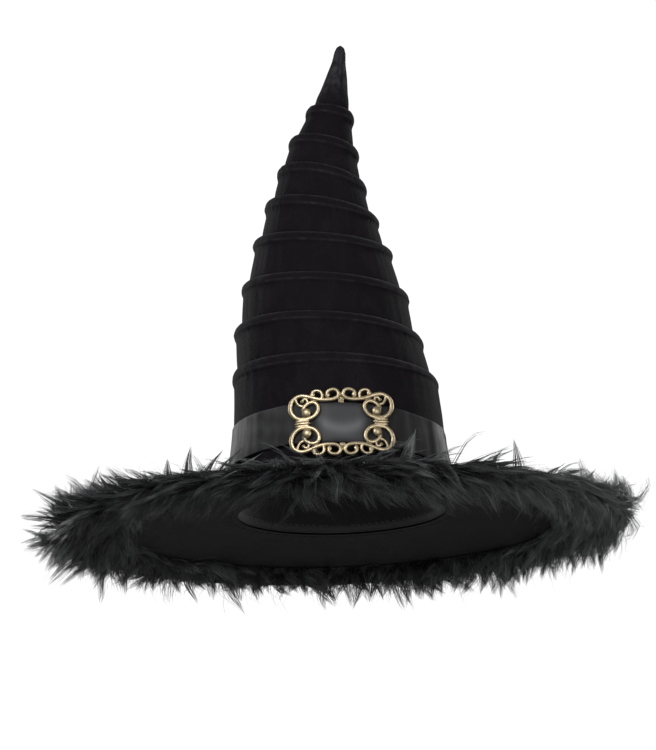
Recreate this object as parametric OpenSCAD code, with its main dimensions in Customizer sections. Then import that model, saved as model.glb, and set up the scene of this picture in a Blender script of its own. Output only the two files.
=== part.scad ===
// Witch hat: a soft velvet crown with corded tucks that rises from a wide brim edged with long
// fur, trimmed with a satin ribbon and a scrollwork buckle. Millimetres, +Z up, front towards -Y.
// The origin is the centre of the brim's footprint, on the surface that the hat stands on.

/* [Crown] */
// Inside radius of the sweatband, which is the hat's head size
head_r = 94; // [93:0.5:95]
// Outside radius of the crown where the brim is sewn on
crown_r = 104; // [103.5:0.5:105]
// Thickness of the velvet with its backing
velvet_t = 1.5; // [1.2:0.1:1.6]
// Thickness of the foam interlining
foam_t = 2.8; // [2:0.1:2.8]
// Thickness of the satin lining
lining_t = 0.6; // [0.4:0.1:0.8]
// Radius of the cord sewn into each tuck
cord_r = 2; // [1.6:0.1:2.1]
// Height of the sweatband
sweatband_h = 38; // [30:1:42]

/* [Bending tip] */
// How far the tip leans to the wearer's left at rest, in degrees
bend_lean = 13; // [11:1:14]
// Radius of the round seat that the tip bends in
bend_r = 27.6; // [27:0.1:27.6]
// Clearance between the tip and its seat
bend_gap = 0.7; // [0.5:0.1:0.8]

/* [Brim] */
// Radius of the brim without its fur
brim_r = 262; // [255:1:270]
// How far the brim droops from the crown to its edge
brim_droop = 17; // [10:1:18]
// Thickness of the brim's stiff core
core_t = 3.5; // [3:0.1:4]
// Thickness of the velvet on each face of the brim
facing_t = 1.2; // [0.8:0.1:1.4]
// Radius of the wire hoop in the brim's edge
wire_r = 1.3; // [1:0.1:1.4]

/* [Fur] */
// Height of the brim's edge above the table, which the fur below it fills
fur_below = 20; // [18:1:24]
// Depth of the fur on top of the brim
fur_above = 16; // [12:1:20]
// How far the fur stands out past the brim's edge
fur_reach = 22; // [18:1:26]
// Width of the fur strip on each face of the brim
fur_width = 58; // [50:1:64]

/* [Ribbon and buckle] */
// Width of the satin ribbon
ribbon_w = 38; // [36:0.5:38.5]
// Thickness of the ribbon, pressed into pleats
ribbon_t = 0.9; // [0.6:0.1:1]
// Height of the ribbon's middle at the sides of the hat
ribbon_z = 90; // [88:1:92]
// How much higher the ribbon sits at the front than at the sides
ribbon_rise = 9; // [6:1:10]
// How far the ribbon slopes down towards the wearer's left, in degrees
ribbon_slope = 3.5; // [0:0.5:4]
// Width of the buckle
buckle_w = 99; // [96:1:102]
// Height of the buckle
buckle_h = 66; // [64:1:68]
// Thickness of the buckle's casting
buckle_t = 3.2; // [2.5:0.1:4]

/* [Hidden] */

$fn = 96;
sides = 36;
layer_gap = 0.4;
sweatband_t = 1.2;
crown_bottom = 35;
plain_top = 125;

// The point on the crown's axis that the tip bends about.
bend_x = -3;
bend_z = 401;
below_bend = 10;

// The tucks, from the one under the point down to the one above the ribbon: the height of each
// stitch line, the crown's radius on it, and the radius of the corded ridge below it.
tuck_z = [435, bend_z, 368, 335, 300, 255, 211, 168.5];
tuck_r = [16.8, 26.9, 36.5, 45.6, 57.6, 72, 81, 91.2];
ridge_r = [24, 35, 44.2, 55.7, 67.7, 80.6, 90.7, 98.4];
last_tuck = len(tuck_z) - 1;

// Where the crown's crooked axis runs, as height and sideways shift, and how far each level
// leans down towards +X and nods down towards the front, as height and degrees.
crown_axis = [
    [plain_top, 0], [157, -1], [206, -7], [246, -8], [295, -9.5], [345, -8], [368, -7],
    [bend_z - below_bend, bend_x - below_bend * tan(bend_lean)], [bend_z, bend_x],
    [424, bend_x + (424 - bend_z) * tan(bend_lean)], [469, 11], [501, 16]
];
crown_lean = [
    [plain_top, 0], [168.5, 4], [211, 5], [255, 5], [300, 6], [335, 11], [368, bend_lean],
    [424, bend_lean], [435, 11], [501, 6]
];
crown_nod = [[211, 0], [255, 3], [300, 6], [335, 2], [368, -2], [bend_z - 17, 0]];

// Shape of a corded ridge below its stitch line: how far down each ring lies, and how far out
// between the stitch line's radius and the ridge's.
ridge_shape = [[16, 0.86], [11.5, 1], [6.5, 0.94], [2.5, 0.6], [0, 0]];
ridge_crest = 9;

// The point above the last tuck, as height and radius.
point_shape = [[452, 13.4], [469, 10], [483, 6.7], [493, 5.6], [498.5, 3.8], [501, 1.2]];

// Ribbon and buckle layers, as distances out from the crown's velvet.
bar_in = 0.7;
bar_t = 2.3;
bridge_in = bar_in + bar_t + layer_gap;
frame_in = bridge_in + ribbon_t + layer_gap;
bridge_half_angle = 34;
lap_angle = 66;
buckle_z = ribbon_z + ribbon_rise;

// ---- rings and shells ----------------------------------------------------------------------

// One level of the crown: a circle of points that leans down towards +X by one angle, and
// towards the front by another.
function ring(x, z, lean, nod, r) = [
    for (i = [0:sides - 1])
        let (a = 360 * i / sides)
        [x + r * cos(a) * cos(lean), r * sin(a) * cos(nod),
         z - r * cos(a) * sin(lean) + r * sin(a) * sin(nod)]
];
function crown_ring(z, r) =
    ring(lookup(z, crown_axis), z, lookup(z, crown_lean), lookup(z, crown_nod), r);
function bend_ring(h, r) =
    ring(bend_x + h * sin(bend_lean), bend_z + h * cos(bend_lean), bend_lean, 0, r);
function ball_r(h) = sqrt(bend_r * bend_r - h * h);

// Every point of a list of rings, one after the other.
function joined(rings) = [for (r = rings) for (p = r) p];

// Triangles between ring a and ring b.
function strip(a, b) = [
    for (i = [0:sides - 1])
        let (j = (i + 1) % sides)
        for (t = [[a * sides + i, b * sides + i, b * sides + j],
                  [a * sides + i, b * sides + j, a * sides + j]]) t
];

// A shell open at both ends: its rings go up the outside and down the inside.
module open_shell(rings) {
    n = len(rings);
    polyhedron(joined(rings), [for (k = [0:n - 1]) for (t = strip(k, (k + 1) % n)) t]);
}

// A shell closed at the top: its rings go from the outer tip down, and back up the inside.
module capped_shell(rings) {
    n = len(rings);
    caps = [
        [for (i = [sides - 1:-1:0]) i],
        [for (i = [0:sides - 1]) (n - 1) * sides + i]
    ];
    sheets = [for (k = [0:n - 2]) for (t = strip(k + 1, k)) t];
    polyhedron(joined(rings), concat(sheets, caps));
}

function reversed(list) = [for (i = [len(list) - 1:-1:0]) list[i]];
function mix(a, b, t) = a + (b - a) * t;

// Radius of the plain wall of the crown at height z, below the lowest tuck.
wall_top_z = tuck_z[last_tuck] - ridge_shape[0][0];
wall_top_r = mix(tuck_r[last_tuck], ridge_r[last_tuck], ridge_shape[0][1]);
function wall_r(z) =
    mix(crown_r, wall_top_r, (z - crown_bottom) / (wall_top_z - crown_bottom));

// The velvet's rings at tuck k, from under the ridge up to the stitch line. The inside lies
// one thickness of velvet in, and leaves room under the ridge for the cord.
function ridge_out(k) = [
    for (s = ridge_shape) crown_ring(tuck_z[k] - s[0], mix(tuck_r[k], ridge_r[k], s[1]))
];
function ridge_in(k) = [
    for (s = ridge_shape)
        crown_ring(tuck_z[k] - s[0] - (s[0] < 5 ? velvet_t * 0.9 : 0),
                   mix(tuck_r[k], ridge_r[k], s[1]) - velvet_t * (s[1] > 0.5 && s[0] < 5 ? 0.5 : 1))
];

// ---- crown ---------------------------------------------------------------------------------

module crown_velvet() {
    lip = bend_r + bend_gap;
    outside = concat(
        [for (z = [crown_bottom, plain_top]) crown_ring(z, wall_r(z))],
        [for (k = [last_tuck:-1:2]) for (r = ridge_out(k)) r],
        [for (s = [0, 1, 2]) ridge_out(1)[s]],
        [bend_ring(-2.5, lip + 4), bend_ring(0, lip + velvet_t)]
    );
    inside = concat(
        [for (z = [crown_bottom, plain_top]) crown_ring(z, wall_r(z) - velvet_t)],
        [for (k = [last_tuck:-1:2]) for (r = ridge_in(k)) r],
        [for (s = [0, 1, 2]) ridge_in(1)[s]],
        [bend_ring(-2.5 - velvet_t * 0.9, lip + 3), bend_ring(-0.8, lip)]
    );
    color([0.11, 0.10, 0.11])
        open_shell(concat(outside, reversed(inside)));
}

// The interlining is a smooth cone that touches the velvet only at the stitch lines.
function foam_r(k) = tuck_r[k] - velvet_t - layer_gap;
foam_plain = [for (z = [crown_bottom + 2, plain_top]) [z, wall_r(z) - velvet_t - layer_gap]];
foam_levels = concat(
    foam_plain,
    [for (k = [last_tuck:-1:2]) [tuck_z[k] - 2, foam_r(k)]],
    [[bend_z - 19, 31.2]]
);

module crown_interlining() {
    color([0.16, 0.16, 0.17])
        open_shell(concat(
            [for (l = foam_levels) crown_ring(l[0], l[1])],
            [for (l = reversed(foam_levels)) crown_ring(l[0], l[1] - foam_t)]
        ));
}

module crown_lining() {
    inset = foam_t + layer_gap;
    first = crown_bottom + 4;
    levels = concat(
        [[first, foam_plain[0][1]], foam_plain[1]],
        [for (k = [last_tuck:-1:3]) [tuck_z[k] - 2, foam_r(k)]]
    );
    top = reversed(levels);
    color([0.16, 0.15, 0.18])
        capped_shell(concat(
            [for (l = top) crown_ring(l[0], l[1] - inset)],
            [for (l = levels) crown_ring(l[0] - (l[0] > first ? lining_t : 0), l[1] - inset - lining_t)]
        ));
}

module sweatband() {
    color([0.09, 0.09, 0.10])
        translate([0, 0, crown_bottom + 1])
            difference() {
                cylinder(h = sweatband_h, r = head_r + sweatband_t);
                translate([0, 0, -1])
                    cylinder(h = sweatband_h + 2, r = head_r);
            }
}

// The row of stitches that holds the sweatband's lower edge to the lining.
module sweatband_stitches() {
    stitch_r = 0.35;
    stitch_l = 5;
    count = 48;
    out_r = head_r + sweatband_t + stitch_r;
    color([0.25, 0.24, 0.26])
        for (i = [0:count - 1])
            rotate([0, 0, 360 * i / count])
                translate([out_r, 0, crown_bottom + 5])
                    rotate([90, 0, 0])
                        cylinder(h = stitch_l, r = stitch_r, center = true, $fn = 16);
}

// The cord of tuck k, a hoop in the hollow behind the velvet's ridge.
module tuck_cord(k) {
    cord_gap = 0.6;
    z = tuck_z[k] - ridge_crest;
    hollow_r = (ridge_r[k] - velvet_t) * cos(180 / sides);
    color([0.14, 0.14, 0.15])
        translate([lookup(z, crown_axis), 0, z])
            rotate([lookup(z, crown_nod), lookup(z, crown_lean), 0])
                rotate_extrude()
                    translate([hollow_r - cord_r - cord_gap, 0])
                        circle(r = cord_r, $fn = 24);
}

// ---- tip -----------------------------------------------------------------------------------

// The tip ends below in part of a ball, which turns in the seat of the second tuck.
skirt = [-16, -8, 0, 8, 14];

module tip_velvet() {
    point_in = [for (p = point_shape) if (p[1] > 5.7) p];
    outside = concat(
        [for (p = reversed(point_shape)) crown_ring(p[0], p[1])],
        reversed(ridge_out(0)),
        [for (h = reversed(skirt)) bend_ring(h, ball_r(h))]
    );
    inside = concat(
        [for (h = skirt) bend_ring(h, ball_r(h) - velvet_t)],
        ridge_in(0),
        [for (p = point_in) crown_ring(p[0], p[1] - velvet_t)]
    );
    color([0.12, 0.11, 0.12])
        capped_shell(concat(outside, inside));
}

module tip_interlining() {
    inset = velvet_t + layer_gap;
    low = [-9, 0, 8, 14];
    top = [[tuck_z[0] - 3, foam_r(0)], [466, 8.4]];
    color([0.16, 0.16, 0.17])
        open_shell(concat(
            [for (h = low) bend_ring(h, ball_r(h) - inset)],
            [for (l = top) crown_ring(l[0], l[1])],
            [for (l = reversed(top)) crown_ring(l[0], l[1] - foam_t)],
            [for (h = reversed(low)) bend_ring(h, ball_r(h) - inset - foam_t)]
        ));
}

// ---- brim ----------------------------------------------------------------------------------

brim_hole_r = crown_r + layer_gap;
brim_steps = 10;
layer_z = core_t / 2 + 0.2;

// Height of the middle of the brim's core at radius r.
function brim_z(r) =
    fur_below + brim_droop * (1 - pow((r - brim_hole_r) / (brim_r - brim_hole_r), 1.4));

// The outline of a layer of the brim, from radius a to radius b, between two offsets.
function brim_layer(a, b, low, high) = concat(
    [for (i = [0:brim_steps]) let (r = mix(a, b, i / brim_steps)) [r, brim_z(r) + low]],
    [for (i = [brim_steps:-1:0]) let (r = mix(a, b, i / brim_steps)) [r, brim_z(r) + high]]
);

module brim_core() {
    color([0.18, 0.17, 0.18])
        rotate_extrude()
            polygon(brim_layer(brim_hole_r, brim_r - 4, -core_t / 2, core_t / 2));
}

module brim_top_velvet() {
    color([0.13, 0.12, 0.14])
        rotate_extrude()
            polygon(brim_layer(brim_hole_r, brim_r, layer_z, layer_z + facing_t));
}

module brim_under_velvet() {
    color([0.12, 0.11, 0.13])
        rotate_extrude()
            polygon(brim_layer(brim_hole_r, brim_r, -layer_z - facing_t, -layer_z));
}

module brim_edge_wire() {
    hoop_r = brim_r - 2;
    color([0.60, 0.60, 0.62])
        translate([0, 0, brim_z(hoop_r)])
            rotate_extrude()
                translate([hoop_r, 0])
                    circle(r = wire_r, $fn = 24);
}

// ---- fur -----------------------------------------------------------------------------------

backing_t = 1.2;
backing_in = layer_z + facing_t + 0.2;
backing_out = backing_in + backing_t;
pile_in = backing_out + 0.2;

// The knitted backing is folded round the brim's edge like a binding.
module fur_backing() {
    edge = brim_r + 0.4;
    inner_end = brim_r - fur_width + 6;
    color([0.20, 0.19, 0.20])
        rotate_extrude()
            difference() {
                polygon(brim_layer(inner_end, edge + backing_t, -backing_out, backing_out));
                polygon(brim_layer(inner_end - 1, edge, -backing_in, backing_in));
            }
}

// The pile is a thick roll round the edge, deeper below the brim, where the hair hangs.
module fur_pile() {
    roll_half = (fur_width + fur_reach) / 2;
    middle = brim_r + fur_reach - roll_half;
    edge = brim_r + 0.4 + backing_t + 0.2;
    roll = [
        for (a = [0:10:350])
            let (depth = sin(a) > 0 ? fur_above : fur_below)
            [middle + roll_half * cos(a), brim_z(min(middle + roll_half * cos(a), brim_r))
                + depth * sign(sin(a)) * pow(abs(sin(a)), 0.7)]
    ];
    lowest = min([for (p = roll) p[1]]);
    color([0.17, 0.17, 0.18])
        translate([0, 0, -lowest])
            rotate_extrude()
                difference() {
                    polygon(roll);
                    polygon(brim_layer(middle - roll_half - 2, edge,
                                       lowest - pile_in, lowest + pile_in));
                }
}

// ---- ribbon --------------------------------------------------------------------------------

// A sleeve that follows the crown's wall at a distance, between two heights.
module sleeve(from, thick, z0, z1) {
    rotate_extrude()
        polygon([
            [wall_r(z0) + from, z0], [wall_r(z0) + from + thick, z0],
            [wall_r(z1) + from + thick, z1], [wall_r(z1) + from, z1]
        ]);
}

// A wedge of space round the direction a, where 0 is the front and +90 is +X.
module wedge(a, half) {
    reach = 160;
    linear_extrude(height = 200)
        polygon([
            [0, 0],
            [reach * sin(a - half), -reach * cos(a - half)],
            [reach * sin(a), -reach * cos(a)],
            [reach * sin(a + half), -reach * cos(a + half)]
        ]);
}

// The ribbon hugs the crown, and lifts at the front to pass over the buckle's bar.
module hat_band() {
    low = 50;
    high = 132;
    rise = atan(ribbon_rise / crown_r);
    color([0.24, 0.24, 0.25])
        intersection() {
            union() {
                difference() {
                    sleeve(layer_gap, ribbon_t, low, high);
                    wedge(0, bridge_half_angle - 0.4);
                }
                intersection() {
                    sleeve(bridge_in, ribbon_t, low, high);
                    wedge(0, bridge_half_angle);
                }
                for (side = [-1, 1])
                    intersection() {
                        sleeve(layer_gap, bridge_in + ribbon_t - layer_gap, low, high);
                        wedge(side * (bridge_half_angle - 0.3), 0.3);
                    }
                intersection() {
                    sleeve(layer_gap, ribbon_t * 2, low, high);
                    wedge(lap_angle, 6);
                }
            }
            translate([0, 0, ribbon_z])
                rotate([-rise, ribbon_slope, 0])
                    cube([300, 300, ribbon_w], center = true);
        }
}

// The stitches that close the ribbon's lapped end.
module band_stitches() {
    stitch_r = 0.35;
    count = 7;
    pitch = ribbon_w / (count + 1);
    end_rise = ribbon_rise * cos(lap_angle) - crown_r * sin(lap_angle) * tan(ribbon_slope);
    color([0.10, 0.10, 0.11])
        for (i = [1:count])
            let (z = ribbon_z + end_rise - ribbon_w / 2 + i * pitch)
            rotate([0, 0, lap_angle])
                translate([0, -(wall_r(z) + layer_gap + ribbon_t * 2 + 0.45), z])
                    rotate([0, 90, 0])
                        cylinder(h = 4, r = stitch_r, center = true, $fn = 16);
}

// ---- buckle --------------------------------------------------------------------------------

corner_r = 11;
corner_x = buckle_w / 2 - corner_r - 2;
corner_z = buckle_h / 2 - corner_r - 2;
wire_w = 4;
window_h = ribbon_w + 2;

module annulus(r, w) {
    difference() {
        circle(r = r + w / 2, $fn = 48);
        circle(r = r - w / 2, $fn = 48);
    }
}

// The upper right quarter of the buckle, seen from the front.
module buckle_quarter() {
    ball_r = 3.2;
    scroll_r = 3.9;
    scroll_z = buckle_h / 2 - scroll_r - 1.2;
    translate([corner_x, corner_z])
        annulus(corner_r, wire_w);
    translate([corner_x - 2, corner_z - corner_r + 6])
        circle(r = ball_r, $fn = 32);
    translate([corner_x - 3.5, corner_z - corner_r])
        square([4, 5]);
    translate([corner_x - 4, 0])
        square([8, corner_z - corner_r + 1]);
    translate([corner_x - 7.5, 0])
        square([15, 2.2]);
    translate([0, window_h / 2])
        square([corner_x - corner_r + 1, wire_w]);
    for (x = [6.4, 21.5])
        translate([x, scroll_z])
            annulus(scroll_r, 2.6);
    translate([14, window_h / 2 + wire_w])
        circle(r = 2.4, $fn = 32);
}

// The scrollwork casting, cut through a sleeve so that it curves with the crown.
module buckle_frame() {
    low = buckle_z - buckle_h / 2 - 4;
    high = buckle_z + buckle_h / 2 + 4;
    color([0.53, 0.47, 0.37])
        intersection() {
            sleeve(frame_in, buckle_t, low, high);
            translate([0, 0, buckle_z])
                rotate([90, 0, 0])
                    linear_extrude(height = 150)
                        for (sx = [0, 1], sz = [0, 1])
                            mirror([sx, 0])
                                mirror([0, sz])
                                    buckle_quarter();
        }
}

// The upright bar behind the window, which the ribbon passes over, with a foot at each end.
module buckle_bar() {
    bar_half = 2.5;
    reach = window_h / 2 + wire_w;
    color([0.50, 0.44, 0.34])
        intersection() {
            union() {
                sleeve(bar_in, bar_t, buckle_z - reach, buckle_z + reach);
                sleeve(bar_in, frame_in - bar_in, buckle_z + window_h / 2 + 0.6, buckle_z + reach);
                sleeve(bar_in, frame_in - bar_in, buckle_z - reach, buckle_z - window_h / 2 - 0.6);
            }
            translate([-bar_half, -150, 0])
                cube([bar_half * 2, 150, 200]);
        }
}

crown_velvet();
crown_interlining();
crown_lining();
sweatband();
sweatband_stitches();
tuck_cord(0);  // tuck_cord_1
tuck_cord(1);  // tuck_cord_2
tuck_cord(2);  // tuck_cord_3
tuck_cord(3);  // tuck_cord_4
tuck_cord(4);  // tuck_cord_5
tuck_cord(5);  // tuck_cord_6
tuck_cord(6);  // tuck_cord_7
tuck_cord(7);  // tuck_cord_8
tip_velvet();
tip_interlining();
brim_top_velvet();
brim_core();
brim_under_velvet();
brim_edge_wire();
fur_backing();
fur_pile();
hat_band();
band_stitches();
buckle_frame();
buckle_bar();
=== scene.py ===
import math

import bpy
import numpy as np
from mathutils import Matrix


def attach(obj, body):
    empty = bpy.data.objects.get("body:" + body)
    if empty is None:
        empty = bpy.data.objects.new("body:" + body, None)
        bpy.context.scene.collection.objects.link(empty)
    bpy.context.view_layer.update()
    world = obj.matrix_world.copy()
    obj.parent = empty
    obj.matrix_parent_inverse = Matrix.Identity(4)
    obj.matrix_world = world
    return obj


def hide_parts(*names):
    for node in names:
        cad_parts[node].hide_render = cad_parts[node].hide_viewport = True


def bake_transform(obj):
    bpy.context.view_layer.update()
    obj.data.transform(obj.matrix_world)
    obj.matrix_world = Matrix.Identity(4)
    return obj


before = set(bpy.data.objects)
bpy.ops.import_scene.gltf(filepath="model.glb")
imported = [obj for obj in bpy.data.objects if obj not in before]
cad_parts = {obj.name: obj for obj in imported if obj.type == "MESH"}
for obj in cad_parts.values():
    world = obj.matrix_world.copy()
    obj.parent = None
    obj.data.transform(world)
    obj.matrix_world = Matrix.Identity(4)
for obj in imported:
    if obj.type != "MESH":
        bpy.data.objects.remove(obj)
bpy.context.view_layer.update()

# Shapes are worked out in millimetres, and turned into metres when a mesh is made.
MM = 0.001

# ---- sizes shared with the CAD ----

CROWN_R = 104.0
CROWN_BOTTOM = 35.0
PLAIN_TOP = 125.0
LAYER_GAP = 0.4
BEND_X, BEND_Z, BEND_LEAN = -3.0, 401.0, 13.0
BEND_SLOPE = math.tan(math.radians(BEND_LEAN))

TUCK_Z = [435, BEND_Z, 368, 335, 300, 255, 211, 168.5]
TUCK_R = [16.8, 26.9, 36.5, 45.6, 57.6, 72, 81, 91.2]
RIDGE_R = [24, 35, 44.2, 55.7, 67.7, 80.6, 90.7, 98.4]
RIDGE_FOOT, RIDGE_FOOT_SHARE = 16, 0.86
POINT_SHAPE = [
    (435, 16.8), (452, 13.4), (469, 10), (483, 6.7), (493, 5.6), (498.5, 3.8), (501, 0.5)
]
CROWN_AXIS = [
    (PLAIN_TOP, 0), (157, -1), (206, -7), (246, -8), (295, -9.5), (345, -8), (368, -7),
    (391, BEND_X - 10 * BEND_SLOPE), (BEND_Z, BEND_X), (424, BEND_X + 23 * BEND_SLOPE),
    (469, 11), (501, 16),
]
CROWN_LEAN = [
    (PLAIN_TOP, 0), (168.5, 4), (211, 5), (255, 5), (300, 6), (335, 11), (368, BEND_LEAN),
    (424, BEND_LEAN), (435, 11), (501, 6),
]
CROWN_NOD = [(211, 0), (255, 3), (300, 6), (335, 2), (368, -2), (384, 0)]

BRIM_HOLE_R = 104.4
BRIM_R = 262.0
BRIM_DROOP = 17.0
FUR_BELOW = 20.0
FACING_FROM, FACING_T = 1.95, 1.2
BACKING_OUT = 4.55
FUR_INNER_R = 208.0

RIBBON_W = 38.0
RIBBON_T = 0.9
RIBBON_Z, RIBBON_RISE, RIBBON_SLOPE = 90.0, 9.0, math.radians(3.5)
BRIDGE_IN = 3.4
BRIDGE_HALF = math.radians(34)
LAP_ANGLE = 66
FRAME_IN, FRAME_T = 4.7, 3.2
BUCKLE_Z = RIBBON_Z + RIBBON_RISE

SWEATBAND_R, SWEATBAND_H, SWEATBAND_T = 94.0, 38.0, 1.2
FOAM_OUT = 1.9
LINING_OUT = FOAM_OUT + 3.2


def ridge_foot(k):
    """Height and radius of the foot of tuck k's ridge."""
    return TUCK_Z[k] - RIDGE_FOOT, TUCK_R[k] + (RIDGE_R[k] - TUCK_R[k]) * RIDGE_FOOT_SHARE


def wall_r(z):
    """Radius of the crown's plain wall, below the lowest tuck."""
    top_z, top_r = ridge_foot(-1)
    return CROWN_R + (top_r - CROWN_R) * (z - CROWN_BOTTOM) / (top_z - CROWN_BOTTOM)


def brim_z(r):
    """Height of the middle of the brim at radius r."""
    share = np.clip((r - BRIM_HOLE_R) / (BRIM_R - BRIM_HOLE_R), 0, None)
    return FUR_BELOW + BRIM_DROOP * (1 - share**1.4)


# ---- curves and noise ----

TABLE_STEP = 0.5
TABLE_Z = np.arange(0, 540, TABLE_STEP)


def smooth_table(pairs, sigma=7.0):
    """A table of height and value as a function of height, with its corners rounded off."""
    heights, values = np.array(pairs, float).T
    reach = np.arange(-4 * sigma, 4 * sigma + TABLE_STEP / 2, TABLE_STEP)
    weights = np.exp(-0.5 * (reach / sigma) ** 2)
    wide = np.arange(TABLE_Z[0] - 4 * sigma, TABLE_Z[-1] + 4 * sigma + TABLE_STEP / 2, TABLE_STEP)
    rounded = np.convolve(np.interp(wide, heights, values), weights / weights.sum(), "valid")
    return lambda z: np.interp(z, TABLE_Z, rounded[: len(TABLE_Z)])


axis_at = smooth_table(CROWN_AXIS)
lean_at = smooth_table(CROWN_LEAN)
nod_at = smooth_table(CROWN_NOD)


def smooth_step(x, low, high):
    """0 below low, 1 above high, and an S between them."""
    t = np.clip((x - low) / (high - low), 0, 1)
    return t * t * (3 - 2 * t)


def bell(x, width):
    """1 at zero, falling off to nothing within a few widths."""
    return np.exp(-((x / width) ** 2))


def around(columns):
    """Even angles round a circle, in one row."""
    return np.arange(columns)[None, :] * 2 * np.pi / columns


def wrapped(angle):
    """The same angle, between -pi and pi."""
    return np.angle(np.exp(1j * angle))


def unit(v):
    """A vector's direction, with length 1."""
    return v / np.maximum(np.linalg.norm(v, axis=-1, keepdims=True), 1e-9)


def ripples(angle, along, counts, seed, drift=0.01):
    """Uneven waves round a circle: sines whose phase and strength wander with the other axis."""
    local = np.random.default_rng(seed)
    total = 0.0
    for count in counts:
        phase, swell_phase = local.uniform(0, 2 * np.pi, 2)
        slide = local.normal(0, drift)
        swell = 0.6 + 0.4 * np.sin(along * local.uniform(0.01, 0.05) + swell_phase)
        total = total + swell * np.sin(count * angle + phase + slide * along)
    return total / math.sqrt(len(counts))


def smooth_line(points, pieces):
    """Points along a smooth curve through the given ones."""
    p = np.array(points, float)
    p = np.vstack([2 * p[0] - p[1], p, 2 * p[-1] - p[-2]])
    t = np.linspace(0, 1, pieces, endpoint=False)[:, None]
    out = []
    for a, b, c, d in zip(p[:-3], p[1:-2], p[2:-1], p[3:]):
        out.append(
            0.5 * (2 * b + (c - a) * t + (2 * a - 5 * b + 4 * c - d) * t**2
                   + (3 * b - a - 3 * c + d) * t**3)
        )
    return np.vstack([*out, p[-2:-1]])


# ---- meshes ----


def make_object(name, points, quads=(), tris=(), materials=(), slots=None):
    """A mesh object from points in millimetres."""
    quads = np.asarray(quads, np.int32).reshape(-1, 4)
    tris = np.asarray(tris, np.int32).reshape(-1, 3)
    loops = np.concatenate([quads.ravel(), tris.ravel()])
    starts = np.concatenate(
        [np.arange(len(quads)) * 4, len(quads) * 4 + np.arange(len(tris)) * 3]
    ).astype(np.int32)
    mesh = bpy.data.meshes.new(name)
    mesh.vertices.add(len(points))
    mesh.vertices.foreach_set("co", (np.asarray(points, float) * MM).astype(np.float32).ravel())
    mesh.loops.add(len(loops))
    mesh.loops.foreach_set("vertex_index", loops)
    mesh.polygons.add(len(starts))
    mesh.polygons.foreach_set("loop_start", starts)
    for m in materials:
        mesh.materials.append(m)
    if slots is not None:
        mesh.polygons.foreach_set("material_index", np.asarray(slots, np.int32))
    mesh.update(calc_edges=True)
    mesh.polygons.foreach_set("use_smooth", np.full(len(starts), True))
    obj = bpy.data.objects.new(name, mesh)
    bpy.context.scene.collection.objects.link(obj)
    return obj


def grid_quads(rows, columns, wrap_rows=False):
    """Quads between rings of points that are stored one after another."""
    r = np.arange(rows if wrap_rows else rows - 1)[:, None]
    c = np.arange(columns)[None, :]
    below, above = r * columns, (r + 1) % rows * columns
    right = (c + 1) % columns
    return np.stack([below + c, below + right, above + right, above + c], -1).reshape(-1, 4)


def fan(centre, ring_start, columns, up):
    """Triangles that close a ring with one point in its middle."""
    c = np.arange(columns)
    a, b = ring_start + c, ring_start + (c + 1) % columns
    middle = np.full(columns, centre)
    return np.stack([middle, a, b] if up else [middle, b, a], -1)


class Lump:
    """Closed tubes gathered into one mesh."""

    def __init__(self):
        self.points, self.quads, self.tris, self.count = [], [], [], 0

    def add_tube(self, rings):
        """A tube from an array of rings of points, closed at its ends."""
        rows, columns = rings.shape[:2]
        end = rows * columns
        self.points += [rings.reshape(-1, 3), rings[0].mean(0), rings[-1].mean(0)]
        self.quads.append(self.count + grid_quads(rows, columns))
        self.tris.append(self.count + fan(end, 0, columns, False))
        self.tris.append(self.count + fan(end + 1, end - columns, columns, True))
        self.count += end + 2

    def build(self, name, material):
        """The object made of all the tubes."""
        return make_object(name, np.vstack(self.points), np.vstack(self.quads),
                           np.vstack(self.tris), [material])


def make_tube(name, rings, material):
    """An object from one tube."""
    lump = Lump()
    lump.add_tube(rings)
    return lump.build(name, material)


def make_hoop(name, rings, material):
    """An object from rings of points whose last ring joins the first, as a flat hoop's do."""
    rows, columns = rings.shape[:2]
    quads = grid_quads(rows, columns, wrap_rows=True)
    return make_object(name, rings.reshape(-1, 3), quads, materials=[material])


def paint(obj, name, values):
    """Stores a number at each point, for the material to read by its name."""
    layer = obj.data.attributes.new(name, "FLOAT", "POINT")
    layer.data.foreach_set("value", np.asarray(values, np.float32))


def apply_modifiers(obj):
    """Makes the modifiers' result the mesh."""
    bpy.context.view_layer.update()
    seen = obj.evaluated_get(bpy.context.evaluated_depsgraph_get())
    mesh = bpy.data.meshes.new_from_object(seen)
    obj.modifiers.clear()
    obj.data = mesh
    mesh.polygons.foreach_set("use_smooth", np.full(len(mesh.polygons), True))
    mesh.update()


def points_at(x, y, z):
    """Points from their three coordinates."""
    return np.stack(np.broadcast_arrays(x, y, z), -1)


def crown_points(z, r, angle):
    """Points of the crown's levels, which lean and nod as the CAD's rings do."""
    lean, nod = np.radians(lean_at(z)), np.radians(nod_at(z))
    side, front = r * np.cos(angle), r * np.sin(angle)
    return points_at(axis_at(z) + side * np.cos(lean), front * np.cos(nod),
                     z - side * np.sin(lean) + front * np.sin(nod))


def round_points(r, z, angle):
    """Points at radius r and height z round the upright axis."""
    return points_at(r * np.cos(angle), r * np.sin(angle), z)


# ---- materials ----


def new_material(name, colour, roughness, **sockets):
    """A Principled material. Other sockets are given with _ for a space."""
    m = bpy.data.materials.new(name)
    m.use_nodes = True
    shader = m.node_tree.nodes["Principled BSDF"]
    shader.inputs["Base Color"].default_value = (*colour, 1)
    shader.inputs["Roughness"].default_value = roughness
    for socket, value in sockets.items():
        shader.inputs[socket.replace("_", " ")].default_value = value
    return m


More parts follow.
